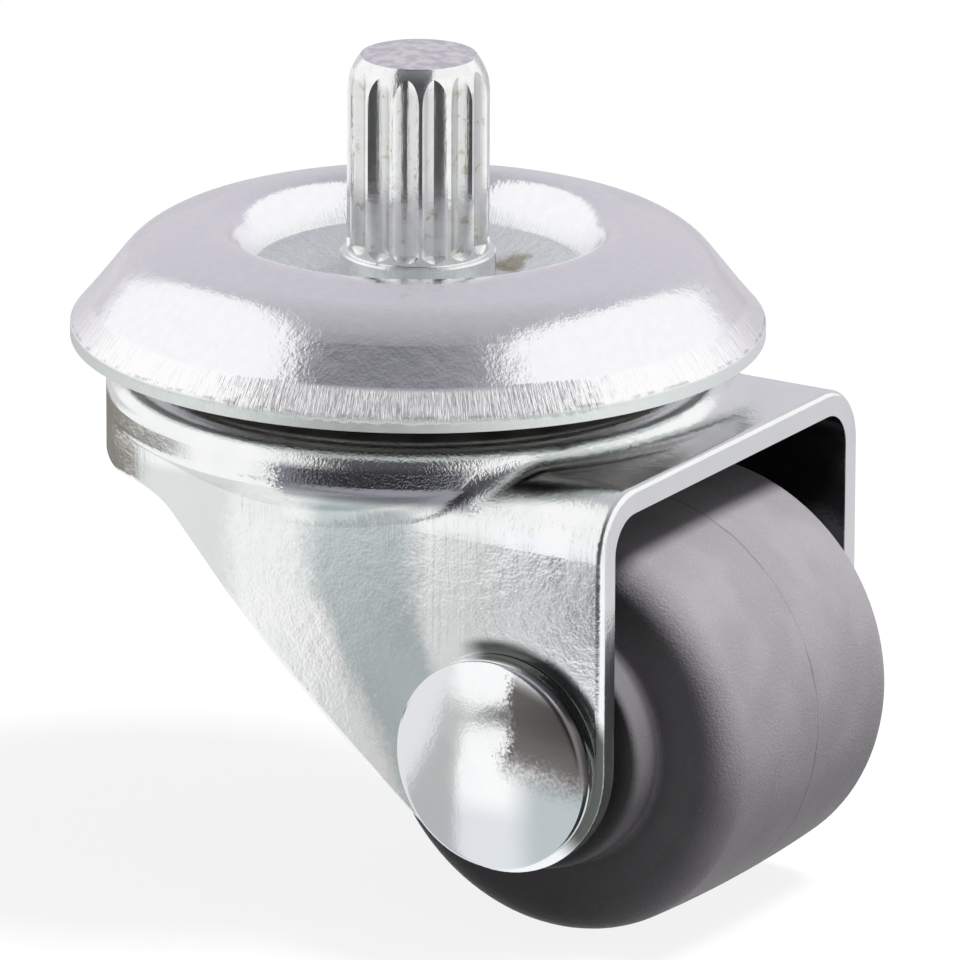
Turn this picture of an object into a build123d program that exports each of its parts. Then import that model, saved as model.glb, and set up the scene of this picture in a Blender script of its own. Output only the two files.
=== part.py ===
import math
import os

from build123d import *

# All sizes are millimetres. The origin is on the swivel axis, on top of the collar that seats
# against the furniture. X points along the trail, Y along the axle and Z up.

# Splined stem
stem_length = 14.2
stem_radius = 5.05
stem_crown = 0.2
shoulder_arc = 4.4
top_radius = 4.1
spline_count = 15
spline_depth = 0.52
spline_land = 0.24
spline_scoop = 0.08
spline_start = 0.25
spline_run_out = 0.5
spline_phase = 3.2
foot_fillet = 0.14
collar_radius = 5.5
collar_height = 2.85
collar_chamfer = 0.12
shank_radius = 3.5
peen_radius = 4.6
peen_height = 1.5

# Pressed cover
cover_sheet = 1.0
cover_radius = 24.6
cover_depth = 6.1
edge_height = 0.95
crease_radius = 23.2
band_height = 1.65
flank_radius = 19.95
flank_height = 0.63
crown_radius = 13.8
crown_height = 2.45
dish_radius = 11.7
dish_height = -1.2
floor_radius = 8.35
crease_bends = [0.3, 0.8, 6.0, 2.3, 0.5, 0.8]

# Ball rings
upper_ball_diameter = 4.0
upper_ball_count = 16
upper_contact = 2.0
lower_ball_diameter = 3.0
lower_ball_count = 12
lower_ball_circle = 6.7
ball_clearance = 0.03

# Pressed fork
fork_sheet = 1.8
least_bend = 0.2
fork_half_width = 17.8
cap_radius = 22.15
cap_centre = 0.1
fork_front = 25.8
fork_drop = 9.95
fork_corner = 4.4
fork_edge_round = 0.5
fork_back_blend = 8.0
cap_rise = 1.95
cap_edge = 1.85
cap_foot_fillet = 2.0
cap_depth = 3.45
cap_tuck = 0.1
cap_bend = 1.0
cap_inner = 15.6
race_gap = 0.5
race_outer = 16.4
race_lip = 2.3
race_land = 1.4
race_bevel = 0.9
race_bends = [1.0, 0.6, 2.1, 0.8, 0.5]
fork_bore = 4.3
back_edge_height = -14.8
back_edge_end = -11.0
back_edge_bend = 5.0
waist_x = -5.3
waist_height = -21.2
leg_edge_angle = 35.5
leg_end_radius = 8.5

# Lower race
race_sheet = 1.3
race_hub_radius = 5.2
race_reach = 1.8
groove_bend = 1.55
race_hub_bend = 0.4

# Axle and wheel
trail = 17.9
axle_drop = 29.7
axle_radius = 3.0
head_radius = 7.55
head_rim = 2.0
head_crown = 0.7
head_fillet = 0.4
far_head_radius = 6.0
far_head_rim = 0.9
far_head_crown = 1.0
sleeve_wall = 0.95
sleeve_clearance = 0.05
wheel_radius = 15.0
wheel_crown = 0.25
wheel_half_width = 11.7
wheel_shoulder = 2.5
hub_radius = 9.0
hub_half_length = 14.7
hub_fillet = 0.5
wheel_clearance = 0.08

os.makedirs("parts", exist_ok=True)


def beside(points, distance):
    """Corner points of a line that runs to the left of another one, at a set distance."""
    shifted = []
    for index, point in enumerate(points):
        before = Vector(*points[max(index - 1, 0)])
        here = Vector(*point)
        after = Vector(*points[min(index + 1, len(points) - 1)])
        heading_in = (here - before) if index > 0 else (after - here)
        heading_out = (after - here) if index < len(points) - 1 else heading_in
        normal_in = Vector(-heading_in.Y, heading_in.X).normalized()
        normal_out = Vector(-heading_out.Y, heading_out.X).normalized()
        mitre = normal_in + normal_out
        corner = here + mitre * (2 * distance / mitre.length**2)
        shifted.append((corner.X, corner.Y))
    return shifted


def beside_bends(points, bends, distance):
    """Bend radii of that line: smaller where it runs inside a bend, the same outside it."""
    radii = []
    for before, here, after, bend in zip(points, points[1:], points[2:], bends):
        turn = (Vector(*here) - Vector(*before)).cross(Vector(*after) - Vector(*here)).Z
        radii.append(max(bend - distance, least_bend) if turn > 0 else bend)
    return radii


def sheet_section(points, bends, sheet):
    """Draws the closed section of a bent sheet, from the corner points of its outer side."""
    inner = beside(points, sheet)
    FilletPolyline(*points, radius=bends)
    FilletPolyline(*inner, radius=beside_bends(points, bends, sheet))
    Line(points[0], inner[0])
    Line(points[-1], inner[-1])


def crown(rim, level, rise, toward):
    """Draws an arc whose centre is on the axis: from its top, at an angle, down to its rim."""
    radius = (rim**2 + rise**2) / (2 * rise)
    spread = math.degrees(math.asin(rim / radius))
    middle = Vector(math.cos(math.radians(toward)), math.sin(math.radians(toward)))
    centre = Vector(*level) + middle * (rise - radius)
    side = 1 if toward in (0, 90) else -1
    CenterArc((centre.X, centre.Y), radius, start_angle=toward, arc_size=side * spread)


# Heights and radii that several pieces share
floor_height = -collar_height
floor_underside = floor_height - cover_sheet
dish_slope = math.atan2(dish_height - floor_height, dish_radius - floor_radius)
upper_ball_radius = upper_ball_diameter / 2
lower_ball_radius = lower_ball_diameter / 2
upper_reach = upper_ball_radius + ball_clearance
upper_ball_circle = (
    floor_radius
    + (cover_sheet + upper_reach) * math.sin(dish_slope)
    + upper_contact * math.cos(dish_slope)
)
upper_ball_height = (
    floor_height
    - (cover_sheet + upper_reach) * math.cos(dish_slope)
    + upper_contact * math.sin(dish_slope)
)
upper_groove = upper_ball_height - math.sqrt(2) * race_bends[2]
ridge_height = floor_underside - race_gap
ridge_radius = upper_ball_circle - (ridge_height - upper_groove)
lower_ball_height = ridge_height - fork_sheet - lower_ball_radius - ball_clearance
lower_groove = lower_ball_height - math.sqrt(2) * groove_bend
hub_height = lower_groove + lower_ball_circle - race_hub_radius
hub_underside = hub_height - race_sheet
cap_height = cap_rise - fork_drop
leg_end_x = fork_front - leg_end_radius
axle_height = -axle_drop


# Stem: collar, splined pin above it, plain shank below it with its peened end
groove_radius = stem_radius - spline_depth
groove_half_angle = math.pi / spline_count - spline_land / stem_radius / 2
side_x = stem_radius * math.cos(groove_half_angle)
side_y = stem_radius * math.sin(groove_half_angle)
groove_levels = (
    (stem_length + 2 * stem_crown, 0.0),
    (spline_start + spline_run_out, 0.0),
    (spline_start, spline_depth),
)
with BuildPart() as spline_groove:
    for level, reach in groove_levels:
        with BuildSketch(Plane.XY.offset(level)):
            with BuildLine():
                for side in (1, -1):
                    SagittaArc(
                        (groove_radius + reach, 0),
                        (side_x + reach, side * side_y),
                        side * spline_scoop,
                    )
                Polyline(
                    (side_x + reach, side_y),
                    (side_x + reach + spline_depth, side_y),
                    (side_x + reach + spline_depth, -side_y),
                    (side_x + reach, -side_y),
                )
            make_face()
    loft(ruled=True)

with BuildPart() as stem:
    with BuildSketch(Plane.XZ):
        with BuildLine():
            Line((0, stem_length + stem_crown), (0, hub_underside - peen_height))
            shoulder_drop = math.sqrt(shoulder_arc**2 - (shoulder_arc - stem_radius + top_radius) ** 2)
            crown(top_radius, (0, stem_length), stem_crown, 90)
            RadiusArc((-stem_radius, stem_length - shoulder_drop), (-top_radius, stem_length), shoulder_arc)
            Line((-stem_radius, 0), (-stem_radius, stem_length - shoulder_drop))
            Polyline(
                (-stem_radius, 0),
                (-collar_radius, 0),
                (-collar_radius, floor_height),
                (-shank_radius, floor_height),
                (-shank_radius, hub_underside),
                (-peen_radius, hub_underside),
            )
            crown(peen_radius, (0, hub_underside), peen_height, 270)
        make_face()
    revolve(axis=Axis.Z)
    fillet(stem.edges().filter_by_position(Axis.Z, -0.01, 0.01).sort_by(SortBy.RADIUS)[0], foot_fillet)
    chamfer(stem.edges().filter_by_position(Axis.Z, -0.01, 0.01).sort_by(SortBy.RADIUS)[-1], collar_chamfer)
    with PolarLocations(0, spline_count, start_angle=spline_phase):
        add(spline_groove.part, mode=Mode.SUBTRACT)
stem.part.label = "stem"
export_step(stem.part, "parts/stem.step")

# Cover: turned edge, brushed band, raised crown, dish and floor of one pressed sheet
cover_points = [
    (cover_radius, -cover_depth),
    (cover_radius, edge_height - cover_depth),
    (crease_radius, edge_height + band_height - cover_depth),
    (flank_radius, flank_height),
    (crown_radius, crown_height),
    (dish_radius, dish_height),
    (floor_radius, floor_height),
    (shank_radius, floor_height),
]
with BuildPart() as cover:
    with BuildSketch(Plane.XZ):
        with BuildLine():
            sheet_section(cover_points, crease_bends, cover_sheet)
        make_face()
    revolve(axis=Axis.Z)
cover.part.label = "cover"
export_step(cover.part, "parts/cover.step")

# Ball rings: the upper one carries the load, the lower one takes the tilt
rings = (
    ("upper", upper_ball_count, upper_ball_circle, upper_ball_height, upper_ball_radius),
    ("lower", lower_ball_count, lower_ball_circle, lower_ball_height, lower_ball_radius),
)
for ring, count, circle, height, radius in rings:
    for index in range(count):
        angle = 360 * index / count
        with BuildPart(Plane.XY.offset(height)) as ball:
            with PolarLocations(circle, 1, start_angle=angle):
                Sphere(radius)
        ball.part.label = f"{ring}_ball_{index + 1:02d}"
        export_step(ball.part, f"parts/{ball.part.label}.step")


def fork_form(inset):
    """The fork's outer form, or with an inset the hollow inside its sheet."""
    round_back = cap_radius - inset
    half_width = fork_half_width - inset
    top = -fork_drop - inset
    front = fork_front + fork_corner
    bottom = axle_height - leg_end_radius - inset
    leg_meeting = -fork_drop - fork_corner - cap_tuck
    flank = (cap_height - cap_depth - leg_meeting) / (cap_radius - fork_half_width)
    flank_points = [
        (fork_half_width - 1, leg_meeting - flank),
        (cap_radius + cap_depth / flank, cap_height),
        (0, cap_height),
    ]
    with BuildPart() as form:
        with BuildSketch(Plane.XY.offset(bottom)):
            Rectangle(front, 2 * half_width, align=(Align.MIN, Align.CENTER))
        extrude(amount=top - bottom)
        fillet(form.faces().sort_by(Axis.Z)[-1].edges().filter_by(Axis.X), fork_corner - inset)
        with BuildSketch(Plane((cap_centre, 0, 0), x_dir=(-1, 0, 0), z_dir=(0, 1, 0))) as section:
            with BuildLine():
                corners = beside(flank_points, inset)
                Polyline(*corners, (0, corners[0][1]), close=True)
            make_face()
            Rectangle(2 * round_back, 2 * axle_drop, mode=Mode.INTERSECT)
            if inset == 0:
                for end, radius in ((-1, cap_edge), (0, cap_bend)):
                    rim = section.vertices().filter_by_position(Axis.X, cap_radius - 0.01, cap_radius + 0.01)
                    fillet(rim.sort_by(Axis.Y)[end], radius)
        revolve(axis=Axis((cap_centre, 0, 0), (0, 0, 1)))
        if inset == 0:
            plate_edges = form.edges().filter_by_position(Axis.Z, top - 0.01, top + 0.01)
            fillet(plate_edges.filter_by(GeomType.CIRCLE), cap_foot_fillet)
        with BuildSketch(Plane.XY.offset(bottom)) as plan:
            with Locations((cap_centre, 0)):
                Circle(round_back)
            Rectangle(
                2 * cap_radius,
                2 * half_width,
                align=(Align.MAX, Align.CENTER),
                mode=Mode.INTERSECT,
            )
            fillet(plan.vertices().filter_by_position(Axis.X, -cap_radius, -1), fork_back_blend - inset)
        extrude(amount=top - bottom)
    return form.part


fork_outside = fork_form(0)
fork_inside = fork_form(fork_sheet)

# Fork: cap, two legs and rounded back of one pressed sheet, with the ball races in its middle
race_points = [
    (race_outer, cap_height),
    (cap_inner, cap_height),
    (upper_ball_circle + race_lip, upper_groove + race_lip),
    (upper_ball_circle, upper_groove),
    (ridge_radius, ridge_height),
    (fork_bore + race_land, ridge_height),
    (fork_bore, ridge_height - race_bevel),
]
outline_back = cap_centre - cap_radius - fork_corner
edge_slope = math.radians(leg_edge_angle)
leg_edge_end = (
    leg_end_x - leg_end_radius * math.sin(edge_slope),
    axle_height - leg_end_radius * math.cos(edge_slope),
)
with BuildPart() as fork:
    add(fork_outside)
    with BuildSketch(Plane.XZ):
        with BuildLine():
            FilletPolyline(
                (outline_back, back_edge_height),
                (back_edge_end, back_edge_height),
                (waist_x, waist_height),
                radius=back_edge_bend,
            )
            TangentArc(
                leg_edge_end,
                (waist_x, waist_height),
                tangent=(-math.cos(edge_slope), math.sin(edge_slope)),
            )
            CenterArc(
                (leg_end_x, axle_height),
                leg_end_radius,
                start_angle=270 - leg_edge_angle,
                arc_size=90 + leg_edge_angle,
            )
            Polyline(
                (fork_front, axle_height),
                (fork_front, 0),
                (outline_back, 0),
                (outline_back, back_edge_height),
            )
        make_face()
    extrude(amount=2 * fork_half_width, both=True, mode=Mode.INTERSECT)
    fillet(fork.edges(Select.NEW), fork_edge_round)
    add(fork_inside, mode=Mode.SUBTRACT)
    with BuildSketch(Plane.XY.offset(cap_height - fork_sheet)):
        Circle(race_outer)
    extrude(amount=2 * fork_sheet, mode=Mode.SUBTRACT)
    with BuildSketch(Plane.XZ):
        with BuildLine():
            sheet_section(race_points, race_bends, fork_sheet)
        make_face()
    revolve(axis=Axis.Z)
    with BuildSketch(Plane.XZ):
        with Locations((trail, axle_height)):
            Circle(axle_radius + sleeve_clearance)
    extrude(amount=2 * fork_half_width, both=True, mode=Mode.SUBTRACT)
fork.part.label = "fork"
export_step(fork.part, "parts/fork.step")

# Lower race: a small cup held on the shank by the peened end
lower_race_points = [
    (lower_ball_circle + race_reach, lower_groove + race_reach),
    (lower_ball_circle, lower_groove),
    (race_hub_radius, hub_height),
    (shank_radius, hub_height),
]
with BuildPart() as lower_race:
    with BuildSketch(Plane.XZ):
        with BuildLine():
            sheet_section(lower_race_points, [groove_bend, race_hub_bend], race_sheet)
        make_face()
    revolve(axis=Axis.Z)
lower_race.part.label = "lower_race"
export_step(lower_race.part, "parts/lower_race.step")

# Axle: sections drawn with the axle's line as their first direction and the radius as their second
axle_line = Axis((trail, 0, axle_height), (0, 1, 0))
axle_section = Plane(origin=(trail, 0, axle_height), x_dir=(0, 1, 0), z_dir=(1, 0, 0))
with BuildPart() as axle_rivet:
    with BuildSketch(axle_section):
        with BuildLine():
            near_rim = -fork_half_width - head_rim
            far_rim = fork_half_width + far_head_rim
            Polyline(
                (near_rim - head_crown, 0),
                (far_rim + far_head_crown, 0),
            )
            crown(far_head_radius, (far_rim, 0), far_head_crown, 0)
            Polyline(
                (far_rim, far_head_radius),
                (fork_half_width, far_head_radius),
                (fork_half_width, axle_radius),
                (-fork_half_width, axle_radius),
                (-fork_half_width, head_radius),
                (near_rim, head_radius),
            )
            crown(head_radius, (near_rim, 0), head_crown, 180)
        make_face()
    revolve(axis=axle_line)
    rims = axle_rivet.edges().filter_by(GeomType.CIRCLE)
    fillet(rims.filter_by_position(Axis.Y, near_rim - 0.01, near_rim + 0.01), head_fillet)
    fillet(rims.filter_by_position(Axis.Y, far_rim - 0.01, far_rim + 0.01), head_fillet)
axle_rivet.part.label = "axle_rivet"
export_step(axle_rivet.part, "parts/axle_rivet.step")

sleeve_bore = axle_radius + sleeve_clearance
sleeve_radius = sleeve_bore + sleeve_wall
sleeve_half_length = fork_half_width - fork_sheet
with BuildPart() as axle_sleeve:
    with BuildSketch(Plane.XZ):
        with Locations((trail, axle_height)):
            Circle(sleeve_radius)
            Circle(sleeve_bore, mode=Mode.SUBTRACT)
    extrude(amount=sleeve_half_length, both=True)
axle_sleeve.part.label = "axle_sleeve"
export_step(axle_sleeve.part, "parts/axle_sleeve.step")

# Wheel: crowned tread, rounded shoulders and a hub boss on each side
tread_edge = wheel_half_width - wheel_shoulder
tread_edge_radius = wheel_radius - wheel_crown
with BuildPart() as wheel:
    with BuildSketch(axle_section):
        with BuildLine():
            ThreePointArc(
                (-tread_edge, tread_edge_radius),
                (0, wheel_radius),
                (tread_edge, tread_edge_radius),
            )
            for side in (-1, 1):
                RadiusArc(
                    (side * tread_edge, tread_edge_radius),
                    (side * wheel_half_width, tread_edge_radius - wheel_shoulder),
                    side * wheel_shoulder,
                )
                Polyline(
                    (side * wheel_half_width, tread_edge_radius - wheel_shoulder),
                    (side * wheel_half_width, hub_radius),
                    (side * hub_half_length, hub_radius),
                    (side * hub_half_length, sleeve_radius + wheel_clearance),
                )
            Line(
                (-hub_half_length, sleeve_radius + wheel_clearance),
                (hub_half_length, sleeve_radius + wheel_clearance),
            )
        make_face()
    revolve(axis=axle_line)
    circles = wheel.edges().filter_by(GeomType.CIRCLE)
    fillet(circles.filter_by(lambda edge: abs(edge.radius - hub_radius) < 0.01), hub_fillet)
wheel.part.label = "wheel"
export_step(wheel.part, "parts/wheel.step")
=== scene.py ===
import math

import bmesh
import bpy
from mathutils import Matrix, Vector, noise


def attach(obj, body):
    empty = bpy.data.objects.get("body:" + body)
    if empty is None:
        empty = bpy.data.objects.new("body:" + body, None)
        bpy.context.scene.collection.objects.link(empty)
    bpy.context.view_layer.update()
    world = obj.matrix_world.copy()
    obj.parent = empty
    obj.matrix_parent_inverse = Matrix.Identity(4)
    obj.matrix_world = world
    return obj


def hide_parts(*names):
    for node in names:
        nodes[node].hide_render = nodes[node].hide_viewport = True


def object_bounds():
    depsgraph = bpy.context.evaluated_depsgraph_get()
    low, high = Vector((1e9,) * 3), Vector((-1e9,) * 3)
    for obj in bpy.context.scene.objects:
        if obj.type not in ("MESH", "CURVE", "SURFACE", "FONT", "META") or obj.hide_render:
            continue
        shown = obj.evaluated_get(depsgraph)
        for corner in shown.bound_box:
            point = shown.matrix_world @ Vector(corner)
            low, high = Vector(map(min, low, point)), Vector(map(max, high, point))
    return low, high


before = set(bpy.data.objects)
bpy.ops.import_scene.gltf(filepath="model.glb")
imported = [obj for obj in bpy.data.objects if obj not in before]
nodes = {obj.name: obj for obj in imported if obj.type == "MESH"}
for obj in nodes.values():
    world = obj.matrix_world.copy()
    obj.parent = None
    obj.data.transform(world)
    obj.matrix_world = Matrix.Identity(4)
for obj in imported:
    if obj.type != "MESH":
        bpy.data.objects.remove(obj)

cad_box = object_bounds()
scene = bpy.context.scene
floor_level = cad_box[0][2]

# Places on the castor that its finishes start from, in millimetres
axle_x, axle_z = 17.9, -29.7
cap_x = 0.1
grease_x, grease_y = 2.7, 7.9

# Camera: the photograph's, fitted to the castor's own circles
azimuth = math.radians(31.223)
elevation = math.radians(17.295)
roll = math.radians(0.220)
camera_place = (0.475076, -0.775208, 0.265991)
back = Vector((
    math.sin(azimuth) * math.cos(elevation),
    -math.cos(azimuth) * math.cos(elevation),
    math.sin(elevation),
))
right = Vector((math.cos(azimuth), math.sin(azimuth), 0))
up = back.cross(right)
camera_right = right * math.cos(roll) + up * math.sin(roll)
camera_up = up * math.cos(roll) - right * math.sin(roll)
camera_data = bpy.data.cameras.new("camera")
camera_data.sensor_width = 36
camera_data.lens = 503.3
camera_data.clip_start = 0.05
camera_data.clip_end = 20
camera = bpy.data.objects.new("camera", camera_data)
camera.matrix_world = Matrix.Translation(camera_place) @ Matrix((
    (camera_right.x, camera_up.x, back.x, 0),
    (camera_right.y, camera_up.y, back.y, 0),
    (camera_right.z, camera_up.z, back.z, 0),
    (0, 0, 0, 1),
))
scene.collection.objects.link(camera)
scene.camera = camera


class Tree:
    """A short way to write node trees."""

    def __init__(self, tree):
        self.tree = tree
        tree.nodes.clear()

    def add(self, kind, **values):
        node = self.tree.nodes.new(kind)
        for name, value in values.items():
            setattr(node, name, value)
        return node

    def put(self, socket, value):
        """A link from another node, or a plain value; three numbers are a colour."""
        if isinstance(value, bpy.types.NodeSocket):
            self.tree.links.new(value, socket)
        elif isinstance(value, tuple):
            socket.default_value = (*value, 1)
        else:
            socket.default_value = value

    def math(self, operation, *values):
        node = self.add("ShaderNodeMath", operation=operation)
        for socket, value in zip(node.inputs, values):
            self.put(socket, value)
        return node.outputs[0]

    def total(self, first, *others):
        for other in others:
            first = self.math("ADD", first, other)
        return first

    def product(self, first, *others):
        for other in others:
            first = self.math("MULTIPLY", first, other)
        return first

    def less(self, value, taken):
        return self.math("SUBTRACT", value, taken)

    def larger(self, a, b):
        return self.math("MAXIMUM", a, b)

    def length(self, x, y):
        return self.math("SQRT", self.total(self.product(x, x), self.product(y, y)))

    def toward(self, x, y, heading):
        """How far a place lies in the direction of a heading, seen from above."""
        return self.total(self.product(x, heading[0]), self.product(y, heading[1]))

    def ramp(self, value, low, high, to_low=0.0, to_high=1.0, smooth=True):
        node = self.add("ShaderNodeMapRange", clamp=True)
        node.interpolation_type = "SMOOTHSTEP" if smooth else "LINEAR"
        for socket, number in zip(node.inputs, (value, low, high, to_low, to_high)):
            self.put(socket, number)
        return node.outputs[0]

    def between(self, value, low, high, soft):
        return self.product(
            self.ramp(value, low - soft, low + soft),
            self.ramp(value, high + soft, high - soft),
        )

    def mix(self, factor, a, b):
        node = self.add("ShaderNodeMix", data_type="RGBA")
        self.put(node.inputs["Factor"], factor)
        self.put(node.inputs[6], a)
        self.put(node.inputs[7], b)
        return node.outputs[2]

    def mottle(self, value, low, high, first, second):
        """Two colours that run into each other as a value goes from low to high."""
        return self.mix(self.ramp(value, low, high), first, second)

    def coats(self, tone, *coats):
        """Further colours over a tone, each where its own mask lets it lie."""
        for mask, colour in coats:
            tone = self.mix(mask, tone, colour)
        return tone

    def curve(self, value, *stops):
        """A colour ramp: pairs of position and grey level or colour."""
        node = self.add("ShaderNodeValToRGB")
        ramp = node.color_ramp
        while len(ramp.elements) < len(stops):
            ramp.elements.new(0.5)
        for element, (position, colour) in zip(ramp.elements, stops):
            element.position = position
            level = colour if isinstance(colour, tuple) else (colour, colour, colour)
            element.color = (*level, 1)
        self.put(node.inputs[0], value)
        return node.outputs[0]

    def place(self):
        """Object coordinates in millimetres."""
        return self.scaled(self.add("ShaderNodeTexCoord").outputs["Object"], 1000, 1000, 1000)

    def split(self, vector):
        node = self.add("ShaderNodeSeparateXYZ")
        self.put(node.inputs[0], vector)
        return tuple(node.outputs)

    def join(self, x, y, z):
        node = self.add("ShaderNodeCombineXYZ")
        for socket, value in zip(node.inputs, (x, y, z)):
            self.put(socket, value)
        return node.outputs[0]

    def scaled(self, vector, x, y, z):
        node = self.add("ShaderNodeVectorMath", operation="MULTIPLY")
        self.put(node.inputs[0], vector)
        node.inputs[1].default_value = (x, y, z)
        return node.outputs[0]

    def noise(self, vector, scale, detail=2.0, rough=0.5):
        node = self.add("ShaderNodeTexNoise")
        self.put(node.inputs["Vector"], vector)
        node.inputs["Scale"].default_value = scale
        node.inputs["Detail"].default_value = detail
        node.inputs["Roughness"].default_value = rough
        return node.outputs["Fac"]

    def bump(self, height):
        """Height in millimetres."""
        node = self.add("ShaderNodeBump")
        node.inputs["Strength"].default_value = 1.0
        node.inputs["Distance"].default_value = 0.001
        self.put(node.inputs["Height"], height)
        return node.outputs["Normal"]

    def surface(self, colour, metallic, roughness, height, **fixed):
        shader = self.add("ShaderNodeBsdfPrincipled")
        self.put(shader.inputs["Base Color"], colour)
        shader.inputs["Metallic"].default_value = metallic
        self.put(shader.inputs["Roughness"], roughness)
        self.put(shader.inputs["Normal"], self.bump(height))
        for name, value in fixed.items():
            shader.inputs[name.replace("_", " ")].default_value = value
        self.finish("ShaderNodeOutputMaterial", shader)

    def finish(self, kind, shader):
        output = self.add(kind)
        self.tree.links.new(shader.outputs[0], output.inputs["Surface"])


def new_material(name):
    material = bpy.data.materials.new(name)
    material.use_nodes = True
    return material, Tree(material.node_tree)


def peel(tree, place, depth):
    """Orange peel of the zinc plate: fine dimples on a slight unevenness."""
    fine = tree.noise(place, 4.2, 2, 0.55)
    broad = tree.noise(place, 0.9, 1)
    return tree.total(tree.product(fine, depth), tree.product(broad, depth * 1.6))


def around_stem(tree, x, y, z, r):
    """Coordinates that run round the swivel axis, for marks up the pressed cover's slope."""
    at_radius, per_height = 24.0, 0.12
    return tree.join(
        tree.product(tree.math("DIVIDE", x, r), at_radius),
        tree.product(tree.math("DIVIDE", y, r), at_radius),
        tree.product(z, per_height),
    )


def from_axle(tree, x, z):
    """How far a place lies in front of the wheel's axle and above it."""
    return tree.less(x, axle_x), tree.less(z, axle_z)


def cover_zinc():
    """Lilac orange peel on the crown, upright brush marks on the band and in the dish, the band's
    marks greyed by painted reflection where it faces the camera, and painted shade on the
    underside inside the cover.
    """
    lilac = (0.915, 0.905, 0.94)
    pale_lilac = (0.945, 0.935, 0.96)
    sea_grey = (0.86, 0.905, 0.90)
    white = (1, 0.99, 1)
    brush_and_reflection_grey = (0.62, 0.62, 0.63)
    pale_green = (0.90, 0.945, 0.93)
    bare_steel = (0.42, 0.41, 0.39)
    brown = (0.33, 0.28, 0.16)
    shaded = (0.30, 0.30, 0.28)
    # The band's side facing the camera, where painted reflection greys its brush marks
    brushing_and_reflection_side = (0.518, -0.855)

    material, tree = new_material("cover_zinc")
    place = tree.place()
    x, y, z = tree.split(place)
    r = tree.length(x, y)
    lines = tree.noise(around_stem(tree, x, y, z, r), 4.6, 2, 0.65)
    wobble = tree.noise(place, 1.3, 2)

    dish = tree.ramp(r, 12.6, 11.4)
    band = tree.product(
        tree.ramp(r, 23.05, 23.35),
        tree.ramp(tree.total(z, tree.product(wobble, 0.5)), -5.25, -5.0),
    )
    edge = tree.ramp(z, -5.0, -5.3)
    facing_up = tree.split(tree.add("ShaderNodeNewGeometry").outputs["True Normal"])[2]
    # Painted shade on the underside inside the cover
    shaded_underside = tree.product(tree.ramp(facing_up, -0.05, -0.2), tree.ramp(r, 20.8, 18.8))

    # Real brush marks, greyed by painted reflection where the band faces the camera
    bearing = tree.math("DIVIDE", tree.toward(x, y, brushing_and_reflection_side), r)
    brushing_and_reflection = tree.ramp(
        tree.total(bearing, tree.product(tree.less(wobble, 0.5), 0.2)),
        0.80, 0.97, 0.3, 1.0,
    )
    worn_line = tree.product(tree.between(z, -5.1, -4.95, 0.1), tree.ramp(wobble, 0.45, 0.6))
    grease_reach = tree.total(
        tree.length(tree.less(x, grease_x), tree.less(y, grease_y)),
        tree.product(wobble, 1.6),
    )
    grease = tree.product(tree.ramp(grease_reach, 2.5, 1.6), tree.ramp(z, -1.6, -2.2))

    tone = tree.coats(
        tree.mottle(wobble, 0.3, 0.7, lilac, pale_lilac),
        (tree.product(dish, tree.ramp(lines, 0.3, 0.7, 0.5, 1.0)), sea_grey),
        (band, white),
        (tree.product(band, brushing_and_reflection, tree.ramp(lines, 0.52, 0.6, 0.0, 0.45)), brush_and_reflection_grey),
        (edge, pale_green),
        (tree.product(worn_line, 0.6), bare_steel),
        (tree.product(grease, 0.75), brown),
        (shaded_underside, shaded),
    )
    unbrushed = tree.less(1.0, tree.larger(band, tree.product(dish, 0.7)))
    height = tree.total(
        tree.product(peel(tree, place, 0.017), unbrushed),
        tree.product(
            lines,
            tree.total(tree.product(band, brushing_and_reflection, 0.17), tree.product(dish, 0.06)),
        ),
    )
    rough = tree.total(
        0.12,
        tree.product(tree.larger(tree.product(band, brushing_and_reflection), tree.product(dish, 0.5)), 0.25),
        tree.product(edge, 0.42),
        tree.product(tree.ramp(wobble, 0.35, 0.7), 0.05),
    )
    tree.surface(tone, 1.0, rough, height)
    return material


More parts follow.
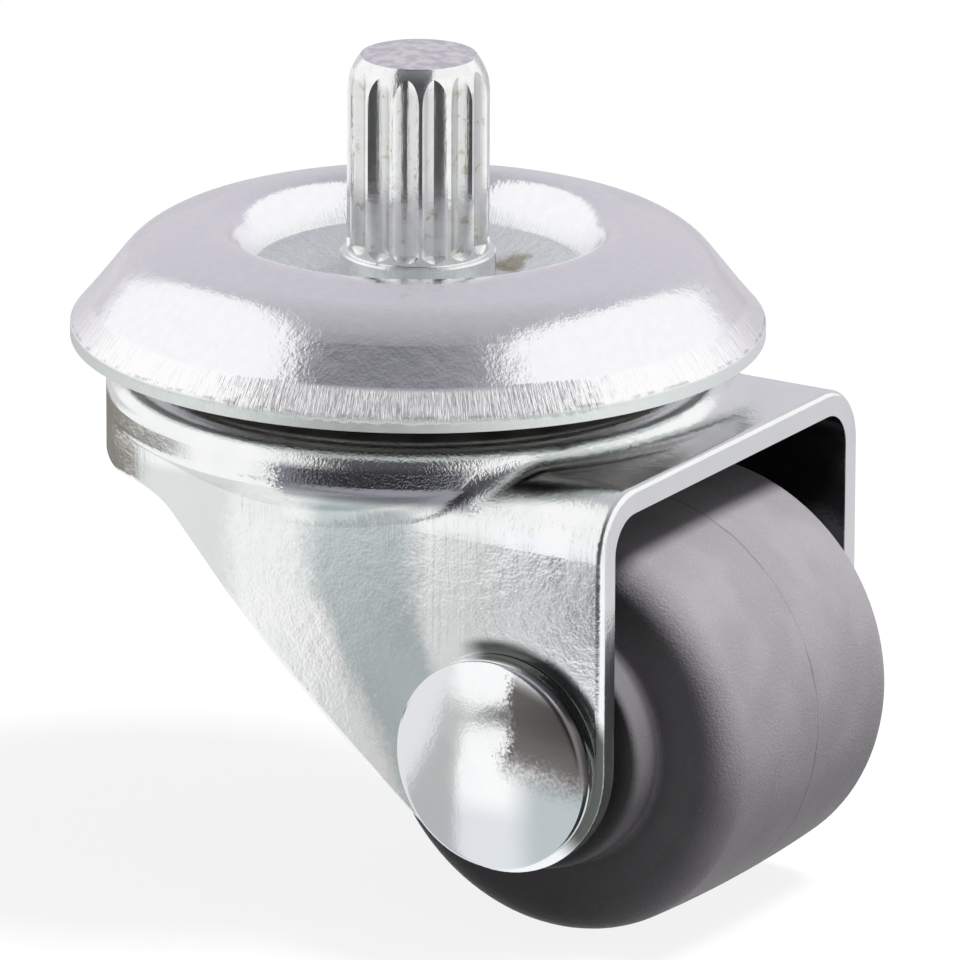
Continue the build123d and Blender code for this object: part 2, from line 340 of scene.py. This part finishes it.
def fork_zinc():
    """Draw marks down the legs; painted reflections as bluish, pale and white bands across the
    near leg and as dark speckles at the cap's root; painted shade on the race under the cover,
    beside the axle's head and in the hollow between the legs.
    """
    white = (0.935, 0.945, 0.935)
    green_white = (0.905, 0.93, 0.925)
    # Painted reflections on the near leg: white, blue grey and pale grey bands
    reflection_sky_white = (0.93, 0.955, 0.975)
    reflection_blue_grey = (0.56, 0.615, 0.62)
    reflection_pale_grey = (0.73, 0.76, 0.745)
    draw_grey = (0.70, 0.72, 0.70)
    # Painted shade and dark reflection: the race, the root, beside the axle's head and the hollow
    shaded_race_grey = (0.22, 0.22, 0.20)
    root_reflection_violet = (0.23, 0.23, 0.275)
    head_shadow_black = (0.07, 0.08, 0.07)
    hollow_shade_black = (0.10, 0.10, 0.105)

    material, tree = new_material("fork_zinc")
    place = tree.place()
    x, y, z = tree.split(place)
    upright = tree.noise(tree.scaled(place, 3.6, 3.6, 0.05), 1.0, 3, 0.7)
    patches = tree.noise(tree.scaled(place, 1.0, 1.0, 0.6), 0.32, 2)
    speckles = tree.noise(place, 5.0, 2, 0.6)
    from_cap = tree.less(x, cap_x)

    # Painted reflections: bands of tone across the near leg, with wavy bounds that lean forward
    # lower down
    near_leg = tree.product(tree.ramp(y, -17.2, -17.5), tree.ramp(z, -12.6, -13.6))
    wavy = tree.total(
        x,
        tree.product(tree.less(patches, 0.5), 3.0),
        tree.product(tree.noise(place, 2.6, 3, 0.6), 1.6),
    )
    leaning = tree.total(wavy, tree.product(tree.larger(tree.less(-20.0, z), 0.0), -0.55))
    middle_reflection_band = tree.product(near_leg, tree.between(leaning, 2.8, 11.2, 1.3))
    rear_reflection_band = tree.product(near_leg, tree.ramp(wavy, -2.2, -5.0))
    # Painted reflection: a pale band at the front of the near leg
    front = tree.product(near_leg, tree.ramp(wavy, 16.5, 19.5))
    # Painted shadow on the leg round the upper right of the axle's head
    shadow_beside_head = tree.product(
        near_leg,
        tree.ramp(tree.length(*from_axle(tree, x, z)), 8.9, 8.1),
        tree.ramp(tree.total(x, tree.product(z, 0.6)), 0.5, 3.5),
    )

    # Draw marks below the cap's bend and down the front of the legs
    draw = tree.larger(
        tree.product(
            tree.ramp(z, -11.4, -12.2),
            tree.ramp(tree.total(z, tree.product(patches, 9.0)), -10.6, -8.8),
        ),
        tree.product(
            tree.between(x, 11.5, 15.5, 1.2),
            tree.ramp(z, -12.2, -13.5),
            tree.ramp(z, -25, -22),
            0.7,
        ),
    )

    # Painted shade on the race under the cover, painted dark reflection at the root where the
    # plate leaves the cap, painted shade in the hollow between the legs
    shaded_race = tree.product(tree.ramp(z, -8.2, -8.05), tree.ramp(tree.length(from_cap, y), 20.8, 20.2))
    # Painted dark reflection in speckles along the root
    root_reflection = tree.product(
        tree.between(tree.total(x, tree.product(tree.less(speckles, 0.5), 4.5)), 1.8, 15.2, 0.5),
        tree.ramp(z, -13.0, -11.9),
        tree.ramp(z, -9.3, -10.1),
        tree.ramp(y, -16.5, -17.5),
    )
    # Painted shade inside the fork between the legs
    shaded_hollow = tree.product(
        tree.ramp(tree.math("ABSOLUTE", y), 16.1, 16.02),
        tree.ramp(tree.length(tree.math("MINIMUM", from_cap, 0.0), y), 20.5, 20.4),
        tree.ramp(z, -11.65, -11.72),
        tree.ramp(x, 25.78, 25.7),
    )

    tone = tree.coats(
        tree.mottle(patches, 0.35, 0.65, white, green_white),
        (middle_reflection_band, reflection_blue_grey),
        (rear_reflection_band, reflection_pale_grey),
        (front, reflection_sky_white),
        (tree.product(draw, tree.ramp(upright, 0.52, 0.64, 0.0, 0.45)), draw_grey),
        (shaded_race, shaded_race_grey),
        (tree.product(root_reflection, 0.92), root_reflection_violet),
        (tree.product(shadow_beside_head, 0.95), head_shadow_black),
        (shaded_hollow, hollow_shade_black),
    )
    crumple = tree.product(
        tree.ramp(z, -13.4, -12.2),
        tree.ramp(x, -1.5, 2.0),
        tree.ramp(x, 19, 16),
        tree.noise(place, 5.5, 2, 0.6),
    )
    height = tree.total(
        peel(tree, place, 0.014),
        tree.product(upright, draw, 0.022),
        tree.product(crumple, 0.03),
    )
    rough = tree.total(
        0.15,
        tree.product(shaded_race, 0.2),
        tree.product(draw, 0.05),
        tree.product(tree.ramp(patches, 0.3, 0.7), 0.05),
    )
    tree.surface(tone, 1.0, rough, height)
    return material


def stem_zinc():
    """Sheared top, smooth shoulder, slightly stained and rougher groove flanks, painted darker as
    a dark reflection.
    """
    white = (0.93, 0.94, 0.93)
    grey_white = (0.87, 0.885, 0.875)
    # Painted dark reflection in the grooves
    groove_reflection_grey = (0.62, 0.63, 0.61)
    stain_brown = (0.46, 0.43, 0.25)
    shear_grey = (0.74, 0.72, 0.77)
    shear_white = (0.97, 0.96, 0.98)

    material, tree = new_material("stem_zinc")
    place = tree.place()
    x, y, z = tree.split(place)
    r = tree.length(x, y)
    upright = tree.noise(tree.scaled(place, 5.0, 5.0, 0.35), 1.0, 3, 0.6)
    blotch = tree.noise(place, 1.1, 3, 0.6)
    top = tree.product(tree.ramp(z, 14.1, 14.22), tree.ramp(r, 4.15, 4.0))
    groove = tree.product(
        tree.ramp(r, 5.0, 4.75),
        tree.ramp(z, 13.2, 12.4),
        tree.ramp(z, 0.1, 0.4),
    )
    stain = tree.product(groove, tree.ramp(blotch, 0.58, 0.68))

    # The grooves' grey is painted dark reflection; their brown is real stain
    tone = tree.coats(
        tree.mottle(blotch, 0.35, 0.65, white, grey_white),
        (tree.product(groove, 0.5), groove_reflection_grey),
        (tree.product(stain, 0.55), stain_brown),
        (top, tree.mottle(blotch, 0.4, 0.62, shear_grey, shear_white)),
    )
    height = tree.total(
        tree.product(upright, tree.ramp(z, 14.0, 13.0), 0.016),
        tree.product(blotch, tree.total(0.02, tree.product(top, 0.10))),
        peel(tree, place, 0.006),
    )
    rough = tree.total(0.15, tree.product(groove, 0.1), tree.product(top, 0.15))
    tree.surface(tone, 1.0, rough, height)
    return material


def rivet_zinc():
    """Bright zinc; on the near head's crown, painted reflections: a dark speckled patch and
    greyer, cooler flanks.
    """
    white = (0.96, 0.965, 0.97)
    blue_white = (0.93, 0.945, 0.955)
    # Painted reflections on the crown
    left_reflection_grey = (0.76, 0.77, 0.78)
    low_reflection_grey = (0.74, 0.77, 0.80)
    reflection_blue_grey = (0.50, 0.55, 0.57)
    reflection_black = (0.19, 0.18, 0.175)

    material, tree = new_material("rivet_zinc")
    place = tree.place()
    x, y, z = tree.split(place)
    across, above = from_axle(tree, x, z)
    cloud = tree.noise(place, 0.5, 2)
    speckle = tree.product(tree.less(tree.noise(place, 4.0, 3, 0.7), 0.5), 3.2)
    waver = tree.total(tree.product(tree.noise(place, 0.35, 1), 2.4), -1.2)
    crown = tree.ramp(y, -18.6, -18.9)
    # Painted reflections on the crown: greyer to the left, lower down and low on the right, and a
    # dark patch
    left_reflection = tree.product(crown, tree.ramp(tree.total(across, waver), -1.6, -3.4))
    low = tree.product(crown, tree.ramp(above, -1.6, -4.2))
    low_right_reflection = tree.product(crown, tree.ramp(across, 1.5, 4.5), tree.ramp(above, 0.6, -0.8))
    reflected_patch = tree.product(
        crown,
        tree.ramp(tree.total(across, waver, speckle), 1.3, 2.3),
        tree.ramp(tree.total(above, speckle, tree.product(across, 0.25)), -0.6, 2.6),
        tree.ramp(tree.total(above, tree.product(across, 0.35)), 8.4, 6.6),
    )

    tone = tree.coats(
        tree.mottle(cloud, 0.4, 0.65, white, blue_white),
        (left_reflection, left_reflection_grey),
        (low, low_reflection_grey),
        (low_right_reflection, reflection_blue_grey),
        (reflected_patch, reflection_black),
    )
    height = tree.total(peel(tree, place, 0.005), tree.product(crown, above, 0.05))
    tree.surface(tone, 1.0, tree.ramp(reflected_patch, 0, 1, 0.12, 0.3), height)
    return material


def race_zinc():
    """Duller zinc of the parts inside, slightly yellowed."""
    grey = (0.66, 0.67, 0.64)
    yellow_grey = (0.52, 0.52, 0.46)

    material, tree = new_material("race_zinc")
    place = tree.place()
    cloud = tree.noise(place, 0.8, 3)
    tone = tree.mottle(cloud, 0.4, 0.65, grey, yellow_grey)
    rough = tree.ramp(cloud, 0.3, 0.7, 0.24, 0.34)
    tree.surface(tone, 1.0, rough, peel(tree, place, 0.008))
    return material


def ball_steel():
    """Polished steel under a thin film of grease."""
    steel = (0.72, 0.72, 0.72)
    filmed = (0.60, 0.59, 0.55)

    material, tree = new_material("ball_steel")
    film = tree.noise(tree.place(), 0.7, 2)
    tone = tree.mottle(film, 0.4, 0.65, steel, filmed)
    tree.surface(tone, 1.0, tree.ramp(film, 0.3, 0.7, 0.06, 0.18), tree.product(film, 0.004))
    return material


def wheel_plastic():
    """Grey plastic with a fine grain and the mould's parting line round its tread, with painted
    shade on the near face and the hubs.
    """
    grey = (0.225, 0.213, 0.226)
    light_grey = (0.25, 0.238, 0.252)
    fleck_grey = (0.36, 0.348, 0.365)
    parting_black = (0.10, 0.095, 0.10)
    # Painted shade on the near face and the hubs
    near_face_shade_black = (0.05, 0.048, 0.052)
    hub_shade_black = (0.07, 0.067, 0.072)

    material, tree = new_material("wheel_plastic")
    place = tree.place()
    x, y, z = tree.split(place)
    grain = tree.noise(place, 5.2, 3, 0.7)
    cloud = tree.noise(place, 0.16, 2)
    speck = tree.noise(place, 7.0, 1)
    wander = tree.product(tree.noise(place, 0.5, 1), 0.3)
    parting = tree.product(
        tree.between(tree.total(y, wander), 0.1, 0.2, 0.05),
        tree.ramp(tree.length(*from_axle(tree, x, z)), 14.0, 14.5),
        tree.ramp(tree.noise(place, 0.3, 1), 0.35, 0.6, 0.35, 1.0),
    )
    # Painted shade: the near face a little darker
    shaded_near_face = tree.ramp(tree.total(y, tree.product(speck, 0.4)), -10.6, -11.4)
    # Painted shade: the hubs darker
    shaded_hub = tree.ramp(tree.math("ABSOLUTE", y), 11.9, 12.2)

    tone = tree.coats(
        tree.mottle(cloud, 0.4, 0.6, grey, light_grey),
        (tree.ramp(speck, 0.6, 0.75, 0.0, 0.5), fleck_grey),
        (tree.product(parting, 0.7), parting_black),
        (tree.product(shaded_near_face, 0.12), near_face_shade_black),
        (tree.product(shaded_hub, 0.5), hub_shade_black),
    )
    height = tree.total(tree.product(grain, 0.06), tree.product(parting, -0.05))
    tree.surface(tone, 0.0, 0.5, height, Specular_IOR_Level=0.15)
    return material


def turned(outline, segments, centre_x, centre_z):
    """A form spun about a line along Y, from places along it and radii in millimetres."""
    form = bmesh.new()
    points = [
        form.verts.new((centre_x / 1000, along / 1000, (centre_z + radius) / 1000))
        for along, radius in outline
    ]
    lines = [form.edges.new(pair) for pair in zip(points, points[1:])]
    bmesh.ops.spin(
        form,
        geom=points + lines,
        cent=(centre_x / 1000, 0, centre_z / 1000),
        axis=(0, 1, 0),
        angle=2 * math.pi,
        steps=segments,
        use_merge=True,
    )
    bmesh.ops.remove_doubles(form, verts=form.verts[:], dist=0.000002)
    bmesh.ops.recalc_face_normals(form, faces=form.faces[:])
    return form


def domed(rim, level, rise, corner, side, steps):
    """A head's crown and rounded rim, from its pole outwards."""
    sphere = (rim**2 + rise**2) / (2 * rise)
    inner = rim - corner
    points = []
    for step in range(steps + 1):
        radius = inner * step / steps
        fall = sphere - math.sqrt(sphere**2 - radius**2)
        points.append((level + side * (rise - fall), radius))

    start = points[-1][0]
    corner_steps = 8
    first_turn = math.radians(8)
    for step in range(1, corner_steps + 1):
        turn = first_turn + (math.pi / 2 - first_turn) * step / corner_steps
        out = (math.sin(turn) - math.sin(first_turn)) / (1 - math.sin(first_turn))
        points.append((start - side * corner * (1 - math.cos(turn)), inner + corner * out))
    return points


def hammer(form, face_y, face_radius):
    """The slight unevenness of a hammered crown, in millimetres, fading out at its rim."""
    spread, depth = 190, 0.06
    for vertex in form.verts:
        across, along = vertex.co.x - axle_x / 1000, vertex.co.y
        above = vertex.co.z - axle_z / 1000
        if along < face_y / 1000:
            swell = noise.noise(Vector((across, 0, above)) * spread) - 0.5
            fade = max(0.0, 1 - (math.hypot(across, above) / (face_radius / 1000)) ** 4)
            vertex.co.y += swell * depth / 1000 * fade


def finish_piece(name, form, material, body, stands_for):
    """A piece from its form, which rides on a body and stands for the nodes of that place."""
    mesh = bpy.data.meshes.new(name)
    form.to_mesh(mesh)
    form.free()
    mesh.shade_smooth()
    mesh.materials.append(material)
    piece = bpy.data.objects.new(name, mesh)
    scene.collection.objects.link(piece)
    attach(piece, body)
    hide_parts(*stands_for)


finishes = {
    "cover": cover_zinc(),
    "fork": fork_zinc(),
    "stem": stem_zinc(),
    "axle_rivet": rivet_zinc(),
    "wheel": wheel_plastic(),
}
race_finish, ball_finish = race_zinc(), ball_steel()
for name, node in nodes.items():
    inside_finish = ball_finish if "ball" in name else race_finish
    node.data.materials.clear()
    node.data.materials.append(finishes.get(name, inside_finish))

# Rivet: domed head, shank and the smaller closed head, as places along the axle and radii
near_head = domed(rim=7.55, level=-19.8, rise=0.7, corner=0.4, side=-1, steps=26)
near_seat = [(-18.0, 7.55), (-17.82, 7.5), (-17.8, 7.35)]
shank = [(-17.8, 3.0), (17.8, 3.0)]
far_seat = [(17.8, 5.8), (17.83, 5.96), (18.0, 6.0)]
far_head = domed(rim=6.0, level=18.7, rise=1.0, corner=0.4, side=1, steps=12)
outline = near_head + near_seat + shank + far_seat + far_head[::-1]
rivet = turned(outline, 144, axle_x, axle_z)
hammer(rivet, face_y=-19.2, face_radius=7.5)
finish_piece("rivet", rivet, finishes["axle_rivet"], "fork", ["axle_rivet"])


def lay_floor():
    """Pale floor, white to the camera under the castor's soft shadow. Metal mirrors a white floor
    with a dark card in front, stripes close by, and greyer ground behind and beside."""
    half_width, below_wheel = 3.0, 0.0002
    back_grey = (0.66, 0.65, 0.68)
    card_black = (0.075, 0.075, 0.08)
    ground_brown = (0.24, 0.22, 0.20)
    shadow_grey = (0.14, 0.14, 0.14)
    floor_white = (0.9, 0.9, 0.9)
    white = (1, 1, 1)
    across_stripes = (0.855, -0.518)
    camera_glow = 0.87

    form = bmesh.new()
    bmesh.ops.create_grid(form, x_segments=1, y_segments=1, size=half_width)
    mesh = bpy.data.meshes.new("floor")
    form.to_mesh(mesh)
    form.free()
    floor = bpy.data.objects.new("floor", mesh)
    floor.location = (0, 0, floor_level - below_wheel)
    scene.collection.objects.link(floor)

    material, tree = new_material("floor")
    x, y, _ = tree.split(tree.place())
    front = tree.math("MULTIPLY", y, -1.0)
    bearing = tree.product(tree.math("ARCTAN2", x, front), 180 / math.pi)
    stripes = tree.curve(
        tree.ramp(tree.toward(x, y, across_stripes), 0, 40, smooth=False),
        (0.0, 1.0), (0.25, 1.0), (0.275, 0.60), (0.49, 0.60), (0.53, 1.0), (1.0, 1.0),
    )
    close_by = tree.product(tree.ramp(front, 15, 25), tree.ramp(front, 110, 90))
    behind = tree.ramp(y, 20, 60)
    card = tree.product(
        tree.ramp(x, -31, -23),
        tree.ramp(front, 70, 90),
        tree.ramp(bearing, 54, 46),
    )
    beside = tree.product(
        tree.between(bearing, -150, -60, 6),
        tree.between(tree.length(x, y), 72, 135, 8),
    )
    mirrored = tree.coats(
        white,
        (close_by, stripes),
        (behind, back_grey),
        (card, card_black),
        (beside, ground_brown),
    )

    path = tree.add("ShaderNodeLightPath")
    to_camera, to_metal = path.outputs["Is Camera Ray"], path.outputs["Is Glossy Ray"]
    diffuse = tree.add("ShaderNodeBsdfDiffuse")
    tree.put(diffuse.inputs["Color"], tree.mix(to_camera, shadow_grey, floor_white))
    glow = tree.add("ShaderNodeEmission")
    tree.put(glow.inputs["Color"], tree.mix(to_metal, white, mirrored))
    blend = tree.add("ShaderNodeMixShader")
    tree.put(blend.inputs["Fac"], tree.larger(tree.product(to_camera, camera_glow), to_metal))
    tree.put(blend.inputs[1], diffuse.outputs[0])
    tree.put(blend.inputs[2], glow.outputs[0])
    tree.finish("ShaderNodeOutputMaterial", blend)
    mesh.materials.append(material)


def light_room():
    """White to the camera. Metal mirrors a white studio with a grey strip overhead, darker toward
    the front and wider at the back, and matt surfaces get soft light from above."""
    strip_turn = math.radians(20)
    across_strip = (math.cos(strip_turn), math.sin(strip_turn))
    along_strip = (math.sin(strip_turn), -math.cos(strip_turn))
    strip_outer, strip_inner = 0.49, 0.43
    left_widening, right_widening = 0.25, 0.03

    world = bpy.data.worlds.new("studio")
    world.use_nodes = True
    scene.world = world
    tree = Tree(world.node_tree)
    x, y, z = tree.split(tree.add("ShaderNodeTexCoord").outputs["Generated"])
    side = tree.toward(x, y, across_strip)
    front = tree.toward(x, y, along_strip)
    over = tree.product(tree.math("ARCTAN2", z, front), 1 / math.pi)
    behind = tree.ramp(over, 0.6, 0.85)
    left_bound = tree.total(side, tree.product(behind, left_widening))
    right_bound = tree.less(side, tree.product(behind, right_widening))
    strip = tree.product(
        tree.ramp(left_bound, -strip_outer, -strip_inner),
        tree.ramp(right_bound, strip_outer, strip_inner),
    )
    strip_tone = tree.curve(
        tree.ramp(over, 0, 1, smooth=False),
        (0.0, (0.075, 0.07, 0.075)), (0.2, (0.085, 0.08, 0.095)), (0.31, (0.19, 0.195, 0.21)),
        (0.37, (0.34, 0.34, 0.37)), (0.45, (0.42, 0.42, 0.44)), (0.6, (0.50, 0.50, 0.53)),
        (0.75, (0.61, 0.60, 0.64)), (1.0, (0.66, 0.64, 0.69)),
    )
    room = tree.mix(strip, (1, 1, 1), strip_tone)
    soft = tree.curve(
        tree.ramp(z, -0.1, 1, smooth=False),
        (0.0, 0.03), (0.6, 0.05), (0.85, 0.45), (1.0, 0.5),
    )
    path = tree.add("ShaderNodeLightPath")
    shade = tree.mix(path.outputs["Is Glossy Ray"], soft, room)
    shade = tree.mix(path.outputs["Is Camera Ray"], shade, (1, 1, 1))
    background = tree.add("ShaderNodeBackground")
    tree.put(background.inputs["Color"], shade)
    background.inputs["Strength"].default_value = 1.0
    tree.finish("ShaderNodeOutputWorld", background)
    world.cycles.sampling_method = "NONE"


def lamp(name, energy, size, place, target):
    """A square lamp, which the metal doesn't mirror."""
    data = bpy.data.lights.new(name, "AREA")
    data.energy = energy
    data.size = size
    light = bpy.data.objects.new(name, data)
    light.location = place
    light.rotation_euler = (Vector(target) - Vector(place)).to_track_quat("-Z", "Y").to_euler()
    light.visible_glossy = False
    scene.collection.objects.link(light)


lay_floor()
light_room()
wheel_centre = (0.018, 0, -0.03)
lamp("key", energy=6.0, size=0.16, place=(0.262, 0.08, 0.53), target=wheel_centre)
lamp("front", energy=1.7, size=0.2, place=(0.6, 0.06, -0.01), target=wheel_centre)

scene.view_settings.view_transform = "Standard"
